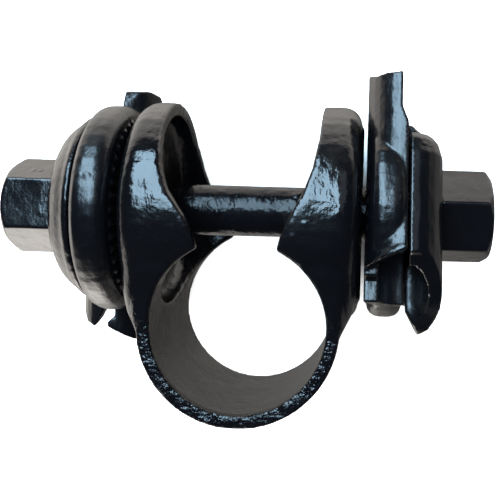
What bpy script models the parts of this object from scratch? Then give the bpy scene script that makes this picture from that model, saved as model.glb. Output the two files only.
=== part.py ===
"""Bicycle saddle clamp: a sprung band round the seat post, a through stud, and two rail grips.

Frame in metres: Z runs along the seat post, X along the stud, Y from the post towards the stud.
The origin is on the post's axis at mid height of the band.
"""

from math import cos, pi, radians, sin, sqrt

import bmesh
import bpy
from mathutils import Matrix, Vector

MM = 0.001
TURN_STEPS = 48
RING_STEPS = 80
SHEET = 2.0
GAP = 0.3

# Band
BORE_R = 12.7
BAND_R = BORE_R + SHEET
BAND_HALF = 12.5
STUD_Y = 16.5
EAR_R = 16.8
EAR_FACE_X = 17.1
EAR_SHOULDER = 2.8
CUP_START_X = 1.0
HOLLOW_START_X = -0.37
RIM_TOP_X = 11.2
RIM_TIP_X = 5.6
LEFT_RIM_SPREAD = 0.6
# The neck from the ring up to each ear, as (y, outer x, half width, corner radius)
NECK_START_X = 8.0
NECK = (
    (-4.5, 13.7, 12.2, 0.5),
    (-2.0, 14.35, 12.4, 0.8),
    (0.0, 15.3, 12.75, 1.4),
    (2.0, 16.3, 13.2, 2.2),
    (5.0, 16.95, 14.05, 3.0),
    (8.0, 17.0, 15.0, 3.4),
    (11.0, 16.7, 15.5, 3.6),
)

# Radial teeth
TEETH = 44
TOOTH_DEPTH = 0.5
EAR_TEETH_R = (8.5, 13.6)
CLIP_TEETH_R = (9.0, 13.9)

# Clips, measured outwards from the tips of the inner clip's teeth
CLIP_START_X = 17.9
CLIP_R = 16.1
CLIP_DEPTH = 5.9
CLIP_SHEET = 2.1
RAIL_R = 3.5
RAIL_OFFSET = 9.6
TROUGH_R = RAIL_R + CLIP_SHEET
TROUGH_X = RAIL_R + CLIP_SHEET
WING_TOP = 18.2
WING_TOP_INNER = 20.1
WING_LIP_X = 5.0
WALL_END = -10.4
WALL_SLANT = 0.39
WALL_LIP = 0.45
RIGHT_WING_END = -14.9
LEFT_WING_END = -21.6
RIGHT_HOOD_END = -19.3
LEFT_HOOD_END = -19.6
DOME_START = CLIP_DEPTH + GAP
CROWN_X = 11.1
ROOF_X = 11.3
HOOD_TOP = 9.4
OUTER_WALL_END = -8.2
HOLE_R = 4.5

# Stud and nuts
STUD_R = 4.0
STUD_HALF = 37.2
STUD_CHAMFER = 0.8
NUT_START_X = CLIP_START_X + CROWN_X + GAP
NUT_LENGTH = 8.2
NUT_FLATS = 13.0
NUT_BORE_R = STUD_R + 0.3

# Rest poses of the loose clips and nuts about the stud
RIGHT_TILT = radians(-14)
LEFT_TILT = radians(-4)
RIGHT_NUT_TURN = radians(12)
LEFT_NUT_TURN = radians(-4)

# A length past anything it cuts
FAR = 40


def clear_scene():
    for obj in list(bpy.data.objects):
        bpy.data.objects.remove(obj, do_unlink=True)


def collection(name, hidden=False):
    made = bpy.data.collections.new(name)
    made.hide_render = hidden
    bpy.context.scene.collection.children.link(made)
    return made


def material(name, color, roughness, metallic):
    made = bpy.data.materials.new(name)
    made.use_nodes = True
    shader = made.node_tree.nodes["Principled BSDF"]
    shader.inputs["Base Color"].default_value = (*color, 1.0)
    shader.inputs["Roughness"].default_value = roughness
    shader.inputs["Metallic"].default_value = metallic
    return made


def mesh_object(name, points, faces, where):
    mesh = bpy.data.meshes.new(name)
    mesh.from_pydata([Vector(p) * MM for p in points], [], faces)
    obj = bpy.data.objects.new(name, mesh)
    where.objects.link(obj)
    work = bmesh.new()
    work.from_mesh(mesh)
    bmesh.ops.remove_doubles(work, verts=work.verts, dist=1e-7)
    bmesh.ops.recalc_face_normals(work, faces=work.faces)
    work.to_mesh(mesh)
    work.free()
    return obj


def turned(name, profile, where, steps=TURN_STEPS):
    """A solid turned about X from a list of (x, radius), starting and ending on the axis."""
    points = []
    faces = []
    inner = profile[1:-1]
    points.append((profile[0][0], 0, 0))
    points.append((profile[-1][0], 0, 0))
    for x, radius in inner:
        for step in range(steps):
            turn = 2 * pi * step / steps
            points.append((x, radius * cos(turn), radius * sin(turn)))
    count = len(inner)
    for step in range(steps):
        after = (step + 1) % steps
        faces.append((0, 2 + step, 2 + after))
        last = 2 + (count - 1) * steps
        faces.append((1, last + after, last + step))
        for ring in range(count - 1):
            low = 2 + ring * steps
            high = low + steps
            faces.append((low + step, high + step, high + after, low + after))
    return mesh_object(name, points, faces, where)


def fillet(center, radius, start, end, steps=4):
    """Points of an arc in the (x, radius) profile plane, angles in degrees."""
    arc = []
    for step in range(steps + 1):
        angle = radians(start + (end - start) * step / steps)
        arc.append((center[0] + radius * cos(angle), center[1] + radius * sin(angle)))
    return arc


def prism(name, outline, axis, low, high, where):
    """An outline pushed along one axis. The outline is in the two other axes, in XYZ order."""
    points = []
    for level in (low, high):
        for a, b in outline:
            points.append({"X": (level, a, b), "Y": (a, level, b), "Z": (a, b, level)}[axis])
    count = len(outline)
    faces = [tuple(range(count)), tuple(range(2 * count - 1, count - 1, -1))]
    for i in range(count):
        after = (i + 1) % count
        faces.append((i, i + count, after + count, after))
    return mesh_object(name, points, faces, where)


def rod(name, radius, axis, low, high, where, steps=TURN_STEPS):
    outline = [(radius * cos(2 * pi * i / steps), radius * sin(2 * pi * i / steps)) for i in range(steps)]
    return prism(name, outline, axis, low, high, where)


def moved(obj, x=0.0, y=0.0, z=0.0):
    obj.data.transform(Matrix.Translation(Vector((x, y, z)) * MM))
    return obj


def combine(target, other, operation):
    tool = target.modifiers.new(operation.title(), "BOOLEAN")
    tool.operation = operation
    tool.solver = "EXACT"
    tool.object = other
    graph = bpy.context.evaluated_depsgraph_get()
    mesh = bpy.data.meshes.new_from_object(target.evaluated_get(graph))
    target.modifiers.clear()
    target.data = mesh
    bpy.data.objects.remove(other, do_unlink=True)
    return target


def fill_pockets(obj):
    """Drops every shell but the largest, so a pocket sealed inside the metal is solid."""
    work = bmesh.new()
    work.from_mesh(obj.data)
    left = set(work.verts)
    shells = []
    while left:
        shell = set()
        edge = [left.pop()]
        while edge:
            vert = edge.pop()
            shell.add(vert)
            for link in vert.link_edges:
                other = link.other_vert(vert)
                if other in left:
                    left.remove(other)
                    edge.append(other)
        shells.append(shell)
    shells.sort(key=len)
    for shell in shells[:-1]:
        bmesh.ops.delete(work, geom=list(shell), context="VERTS")
    work.to_mesh(obj.data)
    work.free()
    return obj


def add(target, other):
    return combine(target, other, "UNION")


def cut(target, other):
    return combine(target, other, "DIFFERENCE")


def keep(target, other):
    return combine(target, other, "INTERSECT")


def teeth(name, radii, base_x, tip_x, where):
    """A ring of radial teeth about X. Valleys lie at base_x and tips at tip_x."""
    points = []
    faces = []
    root_x = base_x + (base_x - tip_x)
    count = 2 * TEETH
    for step in range(count):
        turn = 2 * pi * step / count
        face_x = tip_x if step % 2 else base_x
        for x in (root_x, face_x):
            for radius in radii:
                points.append((x, radius * cos(turn), radius * sin(turn)))
    for step in range(count):
        a = 4 * step
        b = 4 * ((step + 1) % count)
        faces.append((a, a + 1, b + 1, b))
        faces.append((a + 2, b + 2, b + 3, a + 3))
        faces.append((a, b, b + 2, a + 2))
        faces.append((a + 1, a + 3, b + 3, b + 1))
    return mesh_object(name, points, faces, where)


def neck(side, tools):
    """The solid under one ear, widening from the ring's width to the ear's."""
    points = []
    for y, x, half, corner in NECK:
        upper = fillet((x - corner, half - corner), corner, 90, 0, 4)
        section = [(NECK_START_X, half)] + upper
        section += [(across, -height) for across, height in reversed(section)]
        points += [(side * across, y, height) for across, height in section]
    return loft("neck", points, len(NECK), tools)


def make_band(where, tools):
    """A strap formed into a ring, its two ends drawn into cups that face each other."""
    ring = rod("band", BAND_R, "Z", -BAND_HALF, BAND_HALF, where, RING_STEPS)
    shoulder = EAR_SHOULDER
    outside = [(CUP_START_X, 0), (CUP_START_X, EAR_R)]
    outside += fillet((EAR_FACE_X - shoulder, EAR_R - shoulder), shoulder, 90, 0, 5)
    outside.append((EAR_FACE_X, 0))
    wall_r = EAR_R - SHEET
    corner = shoulder - SHEET * 0.5
    floor_x = EAR_FACE_X - SHEET
    inside = [(HOLLOW_START_X, 0), (HOLLOW_START_X, wall_r)]
    inside += fillet((floor_x - corner, wall_r - corner), corner, 90, 0, 3)
    inside.append((floor_x, 0))
    for side in (1, -1):
        cup = moved(turned("cup", [(side * x, r) for x, r in outside], tools), 0, STUD_Y)
        add(ring, cup)
        add(ring, neck(side, tools))
    for side in (1, -1):
        hollow = moved(turned("hollow", [(side * x, r) for x, r in inside], tools), 0, STUD_Y)
        cut(ring, hollow)
    cut(ring, rod("bore", BORE_R, "Z", -FAR, FAR, tools, RING_STEPS))
    cut(ring, prism("mouth", mouth_outline(), "Z", -FAR, FAR, tools))
    for side in (1, -1):
        tips = side * (EAR_FACE_X + TOOTH_DEPTH)
        rows = teeth("serration", EAR_TEETH_R, side * (EAR_FACE_X - 0.05), tips, tools)
        add(ring, moved(rows, 0, STUD_Y))
    hole = moved(rod("hole", HOLE_R, "X", -FAR, FAR, tools), 0, STUD_Y)
    return cut(ring, hole)


def mouth_outline():
    """The opening between the ears as (x, y), from the bore up past their rims."""
    tip_y = sqrt(BORE_R**2 - RIM_TIP_X**2)
    half = [
        (RIM_TIP_X - 1.0, tip_y - 3.0),
        (RIM_TIP_X - 0.05, tip_y - 0.15),
        (RIM_TIP_X + 0.4, tip_y + 1.7),
        (RIM_TIP_X + 1.7, tip_y + 4.7),
        (RIM_TIP_X + 3.6, tip_y + 8.4),
        (RIM_TIP_X + 4.7, tip_y + 11.7),
        (RIM_TOP_X - 0.2, tip_y + 16.0),
        (RIM_TOP_X, STUD_Y + EAR_R + 2),
    ]
    upper_y = tip_y + 8.0
    left = [(-x - LEFT_RIM_SPREAD * (y > upper_y), y) for x, y in reversed(half)]
    return half + left


def trough_blank(end):
    """The trough's outline seen along X, as (y, z): the wall beside the stud is the longer one at the top."""
    return [
        (WING_TOP_INNER - 3.0, 2.0),
        (WING_TOP_INNER - 2.2, 4.2),
        (WING_TOP_INNER - 0.4, 5.0),
        (WING_TOP_INNER, 6.2),
        (WING_TOP_INNER - 0.4, 9.2),
        (WING_TOP + 0.4, 11.0),
        (WING_TOP, 12.0),
        (WING_TOP, 20.0),
        (end, 20.0),
        (end, 5.0),
        (end + 0.7, 4.2),
        (end + 1.9, 3.8),
        (end + 2.2, 2.0),
    ]


def trough_tube(tools):
    """The trough's outside, along Y, with a bead round the slanted end of the wall over the rail."""
    stations = ((FAR, 0), (2.6, 0), (1.3, 0.25), (0.5, 1), (-0.5, 1), (-0.9, 0), (-FAR, 0))
    count = 32
    points = []
    for above, swell in stations:
        for i in range(count):
            turn = 2 * pi * i / count
            radius = TROUGH_R + WALL_LIP * swell * max(0, sin(turn))
            x = TROUGH_X + radius * cos(turn)
            y = WALL_END + WALL_SLANT * x + above
            points.append((x, y, RAIL_OFFSET + radius * sin(turn)))
    return loft("trough", points, len(stations), tools)


def make_inner_clip(name, end, where, tools):
    """A shallow toothed dish with a rail trough whose ends stick out past the rim."""
    face_x = TOOTH_DEPTH
    face_corner = 2.0
    rim_corner = 1.8
    outside = [(face_x, 0)]
    outside += fillet((face_x + face_corner, CLIP_R - face_corner), face_corner, 180, 90)
    outside += fillet((CLIP_DEPTH - rim_corner, CLIP_R - rim_corner), rim_corner, 90, 0, 3)
    outside.append((CLIP_DEPTH, 0))
    dish = turned(name, outside, where)
    wall_r = CLIP_R - rim_corner - 0.9
    floor_x = face_x + CLIP_SHEET
    pan = [(floor_x, 0), (floor_x, wall_r), (CLIP_DEPTH + 3, wall_r), (CLIP_DEPTH + 3, 0)]
    cut(dish, turned("pan", pan, tools))
    trough = trough_tube(tools)
    keep(trough, prism("blank", trough_blank(end), "X", -10, CLIP_DEPTH, tools))
    fill_pockets(add(dish, trough))
    cut(dish, moved(rod("rail", RAIL_R, "Y", -FAR, FAR, tools, 32), TROUGH_X, 0, RAIL_OFFSET))
    # The lips of the upper wing stand lower than the parting plane.
    lip = [(WING_LIP_X, 12.9), (CLIP_DEPTH + 0.1, 10.3), (FAR, 10.3), (FAR, FAR), (WING_LIP_X, FAR)]
    cut(dish, prism("lip", lip, "Z", 3.0, FAR, tools))
    # At the lower end only the wall beside the stud runs on. The other stops on a slant.
    step = [
        (WALL_END + 0.4, FAR),
        (WALL_END + 0.4, RAIL_OFFSET + 2.5),
        (WALL_END - 0.9, RAIL_OFFSET + 0.8),
        (WALL_END - 1.2, RAIL_OFFSET - 0.6),
        (-FAR, RAIL_OFFSET - 0.6),
        (-FAR, FAR),
    ]
    cut(dish, prism("step", step, "X", -FAR, FAR, tools))
    slant = [(-10, WALL_END - 10 * WALL_SLANT), (10, WALL_END + 10 * WALL_SLANT), (10, -FAR), (-10, -FAR)]
    cut(dish, prism("slant", slant, "Z", RAIL_OFFSET + 0.8, FAR, tools))
    if end < -CLIP_R:
        # A wing that passes the rim dips along its edge and flares again at a slanted end.
        dip_x = WING_LIP_X - 0.2
        flare_y = end + 3.0
        dip = [
            (FAR, -13.0),
            (CLIP_DEPTH, -13.0),
            (dip_x, -15.2),
            (dip_x, flare_y + 1.0),
            (CLIP_DEPTH, flare_y),
            (FAR, flare_y),
        ]
        cut(dish, prism("dip", dip, "Z", -FAR, FAR, tools))
        tip = [(-1, end - 0.3), (2.0, end + 0.2), (7.0, end + 2.8), (7.0, -FAR), (-1, -FAR)]
        cut(dish, prism("tip", tip, "Z", -FAR, FAR, tools))
    add(dish, teeth("serration", CLIP_TEETH_R, face_x + 0.05, 0, tools))
    return cut(dish, rod("hole", HOLE_R, "X", -5, 20, tools))


def dome_profile(inset):
    """The dome's outside for inset 0, and its inside for an inset of one sheet."""
    shape = [
        (DOME_START, 14.4),
        (DOME_START + 0.8, 14.3),
        (DOME_START + 1.4, 13.7),
        (DOME_START + 2.4, 13.0),
        (DOME_START + 3.4, 12.1),
        (DOME_START + 4.2, 10.9),
        (CROWN_X - 0.2, 9.5),
        (CROWN_X, 8.3),
    ]
    if not inset:
        return [(DOME_START, 0)] + shape + [(CROWN_X, 0)]
    inner = [(x - inset * 0.8, r - inset) for x, r in shape[3:]]
    below = DOME_START - 1
    return [(below, 0), (below, inner[0][1])] + inner + [(inner[-1][0], 0)]


def hood(name, inset, stations, tools):
    """A half-round tunnel over the rail, from a list of (y, size)."""
    width = TROUGH_R - inset
    height = ROOF_X - DOME_START - inset
    base_x = DOME_START - 1.5 * bool(inset)
    columns = 12
    points = []
    for y, size in stations:
        for i in range(columns + 1):
            turn = pi * i / columns
            across = RAIL_OFFSET + width * size * cos(turn)
            points.append((DOME_START + height * size * sin(turn), y, across))
        points.append((base_x, y, RAIL_OFFSET - width * size))
        points.append((base_x, y, RAIL_OFFSET + width * size))
    return loft(name, points, len(stations), tools)


def loft(name, points, stations, where):
    """Skins equal loops of points, given loop after loop, and closes both ends."""
    loop = len(points) // stations
    faces = [tuple(range(loop)), tuple(range((stations - 1) * loop, stations * loop))]
    for station in range(stations - 1):
        low = station * loop
        high = low + loop
        for i in range(loop):
            after = (i + 1) % loop
            faces.append((low + i, low + after, high + after))
            faces.append((low + i, high + after, high + i))
    return mesh_object(name, points, faces, where)


def make_outer_clip(name, end, where, tools):
    """A domed washer with a hood over the rail on one side, the hood's lower end cut on a slant."""
    dome = turned(name, dome_profile(0), where)
    shoulder = [(HOOD_TOP, 0.72), (HOOD_TOP - 1.0, 0.88), (HOOD_TOP - 3.2, 1.0)]
    roof = hood("hood", 0, shoulder + [(-FAR, 1.0)], tools)
    slant = [
        (OUTER_WALL_END, FAR),
        (OUTER_WALL_END - 0.4, RAIL_OFFSET + 4.8),
        (end + 4.9, RAIL_OFFSET),
        (end + 0.8, RAIL_OFFSET - 4.0),
        (end, RAIL_OFFSET - 5.3),
        (end, -FAR),
        (-2 * FAR, -FAR),
        (-2 * FAR, FAR),
    ]
    cut(roof, prism("slant", slant, "X", -FAR, FAR, tools))
    point = [(DOME_START - 1, end + 5.6), (DOME_START + 2.4, end - 1), (DOME_START - 1, end - 1)]
    cut(roof, prism("point", point, "Z", -FAR, FAR, tools))
    add(dome, roof)
    cut(dome, turned("under", dome_profile(CLIP_SHEET), tools))
    cut(dome, hood("rail_roof", CLIP_SHEET, [(FAR, 1.0), (-FAR, 1.0)], tools))
    return cut(dome, rod("hole", HOLE_R, "X", -5, 20, tools))


def make_nut(name, where, tools):
    """A hexagon nut with its outer end chamfered, bored clear of the stud."""
    reach = NUT_FLATS / sqrt(3)
    outline = [(reach * cos(pi / 3 * i), reach * sin(pi / 3 * i)) for i in range(6)]
    nut = prism(name, outline, "X", 0, NUT_LENGTH, where)
    face_r = NUT_FLATS / 2 - 0.3
    cone = [(-1, 0), (-1, reach + 1), (NUT_LENGTH - 1.1, reach + 0.2), (NUT_LENGTH, face_r), (NUT_LENGTH, 0)]
    keep(nut, turned("chamfer", cone, tools))
    return cut(nut, rod("bore", NUT_BORE_R, "X", -5, 20, tools, 32))


def make_stud(name, where):
    end = STUD_CHAMFER
    profile = [
        (-STUD_HALF, 0),
        (-STUD_HALF, STUD_R - end),
        (-STUD_HALF + end, STUD_R),
        (STUD_HALF - end, STUD_R),
        (STUD_HALF, STUD_R - end),
        (STUD_HALF, 0),
    ]
    return turned(name, profile, where, 36)


def place(obj, side, start_x, turn):
    """Puts a piece built outwards along +X on one side of the band, turned about the stud."""
    facing = Matrix.Identity(4) if side > 0 else Matrix.Rotation(pi, 4, "Y")
    spot = Matrix.Translation(Vector((side * start_x, STUD_Y, 0)) * MM)
    obj.matrix_world = spot @ Matrix.Rotation(turn, 4, "X") @ facing
    return obj


def finish(obj, surface, sharp=35):
    obj.data.materials.clear()
    obj.data.materials.append(surface)
    obj.data.shade_smooth()
    obj.data.set_sharp_from_angle(angle=radians(sharp))


def main():
    clear_scene()
    parts = collection("saddle_clamp")
    tools = collection("cutters", hidden=True)
    enamel = material("black_enamel", (0.012, 0.013, 0.016), 0.16, 0.0)
    nut_enamel = material("nut_enamel", (0.014, 0.015, 0.02), 0.22, 0.0)
    finish(make_band(parts, tools), enamel)
    stud = make_stud("stud", parts)
    stud.location = Vector((0, STUD_Y, 0)) * MM
    finish(stud, enamel)
    for side, word, wing_end, hood_end, tilt, turn in (
        (1, "right", RIGHT_WING_END, RIGHT_HOOD_END, RIGHT_TILT, RIGHT_NUT_TURN),
        (-1, "left", LEFT_WING_END, LEFT_HOOD_END, LEFT_TILT, LEFT_NUT_TURN),
    ):
        inner = make_inner_clip(f"{word}_inner_clip", wing_end, parts, tools)
        outer = make_outer_clip(f"{word}_outer_clip", hood_end, parts, tools)
        nut = make_nut(f"{word}_nut", parts, tools)
        finish(place(inner, side, CLIP_START_X, tilt), enamel)
        finish(place(outer, side, CLIP_START_X, tilt), enamel)
        finish(place(nut, side, NUT_START_X, turn), nut_enamel, 25)
    for obj in list(tools.objects):
        bpy.data.objects.remove(obj, do_unlink=True)


main()
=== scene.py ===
"""A black-enamelled bicycle saddle clamp lying on a pale studio floor, seen along the seat post's axis."""

from math import radians

import bpy
from mathutils import Euler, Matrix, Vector


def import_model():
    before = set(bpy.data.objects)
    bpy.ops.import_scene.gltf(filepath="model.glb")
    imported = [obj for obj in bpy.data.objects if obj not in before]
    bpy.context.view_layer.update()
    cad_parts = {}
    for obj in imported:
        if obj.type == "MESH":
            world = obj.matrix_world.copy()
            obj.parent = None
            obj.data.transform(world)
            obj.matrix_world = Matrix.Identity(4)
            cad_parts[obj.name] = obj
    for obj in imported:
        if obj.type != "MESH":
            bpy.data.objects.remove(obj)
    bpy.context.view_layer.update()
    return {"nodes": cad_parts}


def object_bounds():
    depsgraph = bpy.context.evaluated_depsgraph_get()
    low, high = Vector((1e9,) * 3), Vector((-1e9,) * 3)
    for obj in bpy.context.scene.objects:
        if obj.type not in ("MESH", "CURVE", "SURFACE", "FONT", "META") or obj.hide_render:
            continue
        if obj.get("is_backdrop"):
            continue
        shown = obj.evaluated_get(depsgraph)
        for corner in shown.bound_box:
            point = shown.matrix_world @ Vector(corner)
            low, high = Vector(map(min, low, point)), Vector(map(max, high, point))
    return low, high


MM = 0.001

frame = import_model()
nodes = frame["nodes"]

# Camera: place in millimetres, turn in degrees, and the lens shift as a share of the image's width
CAMERA_AT = (17.66, 19.26, 119.61)
CAMERA_TURN = (-0.76, 0.17, 1.60)
LENS = 54.02
SHIFT = (-0.224, -0.086)

# The coat that rounds each kind of piece: voxel size in millimetres, and turns of smoothing
COAT = {
    "band": (0.32, 7),
    "stud": (0.22, 5),
    "inner_clip": (0.20, 6),
    "outer_clip": (0.22, 8),
    "nut": (0.20, 5),
}

# Relief of the enamel: noise scale, detail, roughness of the noise, and lift in metres
WAVES = (170.0, 2.0, 0.5, 0.00036)
RUNS = (760.0, 3.0, 0.6, 0.00007)
PEEL = (560.0, 3.0, 0.6, 0.00010)
GRAIN = (1500.0, 2.0, 0.5, 0.00002)
# Runs are stretched along Y, the way the coat drained
RUN_STRETCH = (1.0, 0.28, 1.0)
NIB_SCALE = 420.0
NIB_LIFT = 0.00009

# Colours and gloss of the enamel
BLACK = (0.0012, 0.0014, 0.0020)
DUSTY = (0.012, 0.011, 0.010)
GLOSSY = (0.10, 0.30)
CLIP_GLOSS = {"inner_clip": (0.18, 0.36), "outer_clip": (0.15, 0.34)}
NUT_GLOSS = (0.12, 0.24)
RUBBED = (0.26, 0.40)
STUD_SPECULAR = 0.22
ENAMEL_IOR = 1.5

# Band dimensions that its finish follows, in metres
BORE_R = 0.0127
RIM_Z = 0.0125
# The rim's speckle fades out between these distances from the ring's axis, heights and places along Y
SPECKLE_R = (0.0150, 0.0156)
SPECKLE_Z = (RIM_Z - 0.0012, RIM_Z - 0.0003)
SPECKLE_Y = (0.001, 0.006)
SPECKLE_SCALE = 620.0
SPECKLE_LIFT = 0.0006

# Studio
FLOOR_HALF = 3.0
# Brightness of the surroundings by height, from straight down (-1) to straight up (1)
BANDS = (
    (-1.0, 0.22),
    (-0.95, 0.22),
    (-0.84, 0.85),
    (-0.5, 2.1),
    (0.0, 1.7),
    (0.08, 1.0),
    (0.2, 0.03),
    (1.0, 0.012),
)
WARM = (1.0, 0.95, 0.89)
# The surroundings are this share as bright on the front right side
SHADED = 0.18
# A sunlit patch of ground, by its direction
PATCH = (-0.38, -0.88, -0.26)
PATCH_LEVEL = 4.0
# Lights: name, place in metres, size, watts, colour, and whether the enamel mirrors it
LIGHTS = (
    ("window", (-0.20, 0.40, 0.60), (0.35, 0.74), 12.0, (0.52, 0.78, 1.0), True),
    ("room", (0.26, 0.36, 0.62), (0.34, 0.5), 0.3, (0.8, 0.9, 1.0), True),
    ("soft_top", (0.0, 0.0, 2.2), (2.4, 2.4), 190.0, (1.0, 1.0, 1.0), False),
)


def camera():
    data = bpy.data.cameras.new("camera")
    data.lens = LENS
    data.shift_x, data.shift_y = SHIFT
    data.clip_start = 0.005
    made = bpy.data.objects.new("camera", data)
    bpy.context.scene.collection.objects.link(made)
    made.location = Vector(CAMERA_AT) * MM
    made.rotation_euler = Euler([radians(angle) for angle in CAMERA_TURN])
    bpy.context.scene.camera = made


def add_node(tree, kind, inputs, **settings):
    """Adds a shader node. An input that is a socket is linked, and any other is set."""
    made = tree.nodes.new("ShaderNode" + kind)
    for key, value in settings.items():
        setattr(made, key, value)
    for key, value in inputs.items():
        if isinstance(value, bpy.types.NodeSocket):
            tree.links.new(value, made.inputs[key])
        else:
            made.inputs[key].default_value = value
    return made


class Shader:
    """Short calls for building one material's nodes."""

    def __init__(self, name):
        self.material = bpy.data.materials.new(name)
        self.material.use_nodes = True
        self.tree = self.material.node_tree
        self.surface = self.tree.nodes["Principled BSDF"]
        self.place = self.node("TexCoord", {}).outputs["Object"]

    def node(self, kind, inputs, **settings):
        return add_node(self.tree, kind, inputs, **settings)

    def noise(self, scale, detail=2.0, rough=0.5, where=None):
        inputs = {"Vector": where or self.place, "Scale": scale, "Detail": detail, "Roughness": rough}
        return self.node("TexNoise", inputs).outputs["Fac"]

    def ramp(self, value, low, high, to_low=0.0, to_high=1.0):
        inputs = {"Value": value, "From Min": low, "From Max": high, "To Min": to_low, "To Max": to_high}
        return self.node("MapRange", inputs, clamp=True).outputs["Result"]

    def math(self, operation, first, second=0.0):
        return self.node("Math", {0: first, 1: second}, operation=operation).outputs["Value"]

    def bump(self, height, distance, over=None):
        inputs = {"Height": height, "Distance": distance, "Strength": 1.0}
        if over:
            inputs["Normal"] = over
        return self.node("Bump", inputs).outputs["Normal"]

    def mix(self, factor, first, second):
        made = self.node("Mix", {"Factor": factor}, data_type="RGBA")
        made.inputs["A"].default_value = (*first, 1.0)
        made.inputs["B"].default_value = (*second, 1.0)
        return made.outputs["Result"]

    def link(self, socket, value):
        self.tree.links.new(value, self.surface.inputs[socket])


def enamel(name, peel, pits, gloss=GLOSSY):
    """Thick dipped enamel: long waves, runs, orange peel, and small pits and dust nibs."""
    made = Shader(name)
    run_place = made.node("Mapping", {"Vector": made.place, "Scale": RUN_STRETCH}).outputs["Vector"]
    normal = None
    for pattern, where in ((WAVES, None), (RUNS, run_place), (PEEL, None), (GRAIN, None)):
        scale, detail, rough, lift = pattern
        normal = made.bump(made.noise(scale, detail, rough, where), lift * peel, over=normal)
    spots = made.node("TexVoronoi", {"Vector": made.place, "Scale": NIB_SCALE, "Randomness": 1.0})
    chosen = made.ramp(made.noise(160.0, 1.0), 0.60, 0.68)
    nib = made.math("MULTIPLY", made.ramp(spots.outputs["Distance"], 0.1, 0.32, 1.0, 0.0), chosen)
    made.normal = made.bump(nib, NIB_LIFT * pits, over=normal)
    made.roughness = made.ramp(made.noise(90.0, 4.0, 0.6), 0.35, 0.75, *gloss)
    made.dust = made.ramp(made.noise(60.0, 5.0, 0.65), 0.6, 0.85)
    made.surface.inputs["IOR"].default_value = ENAMEL_IOR
    return made


def close(made):
    """Links the finish's parts to the shader."""
    made.link("Roughness", made.roughness)
    made.link("Base Color", made.mix(made.dust, BLACK, DUSTY))
    made.link("Normal", made.normal)
    return made.material


def band_enamel():
    """The band's enamel, rubbed satin in the bore and lumpy along the ring's cut edges."""
    made = enamel("black_enamel", 1.0, 1.0)
    parts = made.node("SeparateXYZ", {"Vector": made.place}).outputs
    flat = made.node("CombineXYZ", {"X": parts["X"], "Y": parts["Y"]}).outputs["Vector"]
    radius = made.node("VectorMath", {0: flat}, operation="LENGTH").outputs["Value"]
    height = made.math("ABSOLUTE", parts["Z"])

    bore = made.ramp(radius, BORE_R + 0.00015, BORE_R + 0.0006, 1.0, 0.0)
    inside = made.ramp(height, RIM_Z - 0.0012, RIM_Z - 0.0004, 1.0, 0.0)
    rubbed = made.math("MULTIPLY", bore, inside)
    satin = made.ramp(made.noise(220.0, 4.0, 0.6), 0.3, 0.7, *RUBBED)
    made.roughness = made.node("Mix", {"Factor": rubbed, "A": made.roughness, "B": satin}).outputs["Result"]
    made.dust = made.math("MAXIMUM", made.dust, rubbed)

    ring = made.math("MULTIPLY", made.ramp(radius, *SPECKLE_R, 1.0, 0.0), made.ramp(parts["Y"], *SPECKLE_Y, 1.0, 0.0))
    edge = made.math("MULTIPLY", made.ramp(height, *SPECKLE_Z), ring)
    lumps = made.math("MULTIPLY", made.noise(SPECKLE_SCALE, 3.0, 0.6), edge)
    made.normal = made.bump(lumps, SPECKLE_LIFT, over=made.normal)
    return close(made)


def stud_enamel():
    """The stud's enamel, thinner and duller than the rest."""
    made = enamel("stud_enamel", 1.5, 2.4)
    made.surface.inputs["Specular IOR Level"].default_value = STUD_SPECULAR
    return close(made)


def dip(obj, voxel, turns, material):
    """Rounds a CAD node's edges as a thick coat of enamel does, with modifiers only."""
    remesh = obj.modifiers.new("coat", "REMESH")
    remesh.mode = "VOXEL"
    remesh.voxel_size = voxel * MM
    remesh.use_smooth_shade = True
    smooth = obj.modifiers.new("flow", "SMOOTH")
    smooth.factor = 0.5
    smooth.iterations = turns
    obj.data.materials.clear()
    obj.data.materials.append(material)


def paint():
    finishes = {
        "band": band_enamel(),
        "stud": stud_enamel(),
        "inner_clip": close(enamel("inner_clip_enamel", 0.8, 1.2, CLIP_GLOSS["inner_clip"])),
        "outer_clip": close(enamel("outer_clip_enamel", 0.9, 1.4, CLIP_GLOSS["outer_clip"])),
        "nut": close(enamel("nut_enamel", 0.7, 1.6, NUT_GLOSS)),
    }
    for name, obj in nodes.items():
        kind = name.split("_", 1)[-1]
        dip(obj, *COAT[kind], finishes[kind])


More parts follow.
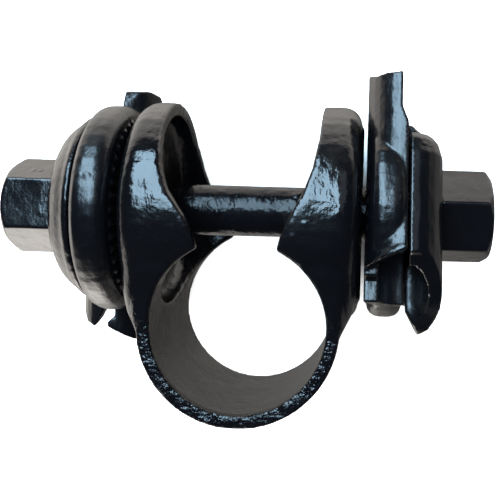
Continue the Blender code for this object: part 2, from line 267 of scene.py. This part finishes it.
def floor():
    """A plain pale floor. The enamel mirrors the room's lower half and not the floor itself."""
    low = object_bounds()[0][2]
    mesh = bpy.data.meshes.new("floor")
    corners = [(x * FLOOR_HALF, y * FLOOR_HALF, low) for x, y in ((-1, -1), (1, -1), (1, 1), (-1, 1))]
    mesh.from_pydata(corners, [], [(0, 1, 2, 3)])
    made = bpy.data.objects.new("floor", mesh)
    bpy.context.scene.collection.objects.link(made)
    made.visible_glossy = False
    shader = Shader("pale_floor")
    shader.surface.inputs["Base Color"].default_value = (0.9, 0.9, 0.9, 1.0)
    shader.surface.inputs["Roughness"].default_value = 0.9
    shader.surface.inputs["Specular IOR Level"].default_value = 0.0
    mesh.materials.append(shader.material)
    made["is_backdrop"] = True


def world():
    """A dim ceiling, a bright band at the horizon, and a ground that is dark below and to the front right."""
    made = bpy.data.worlds.new("studio")
    bpy.context.scene.world = made
    made.use_nodes = True
    tree = made.node_tree
    peak = max(level for _, level in BANDS)

    place = add_node(tree, "TexCoord", {}).outputs["Generated"]
    parts = add_node(tree, "SeparateXYZ", {"Vector": place}).outputs
    height = add_node(tree, "MapRange", {"Value": parts["Z"], "From Min": -1.0}).outputs["Result"]
    ramp = add_node(tree, "ValToRGB", {"Fac": height})
    stops = ramp.color_ramp.elements
    for spot, (z, level) in enumerate(BANDS):
        # A new ramp has two stops already.
        stop = stops[spot] if spot < 2 else stops.new((z + 1) / 2)
        stop.position = (z + 1) / 2
        stop.color = (*(level / peak * part for part in WARM), 1.0)

    across = add_node(tree, "Math", {0: parts["X"], 1: -1.5, 2: parts["Y"]}, operation="MULTIPLY_ADD")
    shade = {"From Min": -0.9, "From Max": -0.2, "To Min": SHADED * peak, "To Max": peak}
    ground = add_node(tree, "MapRange", {"Value": across.outputs["Value"], **shade})
    facing = add_node(tree, "VectorMath", {0: place, 1: PATCH}, operation="DOT_PRODUCT")
    lit = {"From Min": 0.9, "From Max": 0.99, "To Max": PATCH_LEVEL}
    patch = add_node(tree, "MapRange", {"Value": facing.outputs["Value"], **lit})
    both = {0: ground.outputs["Result"], 1: patch.outputs["Result"]}
    total = add_node(tree, "Math", both, operation="ADD")
    back = tree.nodes["Background"].inputs
    tree.links.new(ramp.outputs["Color"], back["Color"])
    tree.links.new(total.outputs["Value"], back["Strength"])


def area_light(name, at, size, power, color, mirrored):
    """A rectangular light that faces the clamp."""
    data = bpy.data.lights.new(name, "AREA")
    data.shape = "RECTANGLE"
    data.size, data.size_y = size
    data.energy = power
    data.color = color
    made = bpy.data.objects.new(name, data)
    bpy.context.scene.collection.objects.link(made)
    made.location = at
    made.rotation_euler = (-Vector(at)).to_track_quat("-Z", "Y").to_euler()
    made.visible_glossy = mirrored


camera()
paint()
floor()
world()
for light in LIGHTS:
    area_light(*light)
bpy.context.scene.view_settings.view_transform = "Standard"
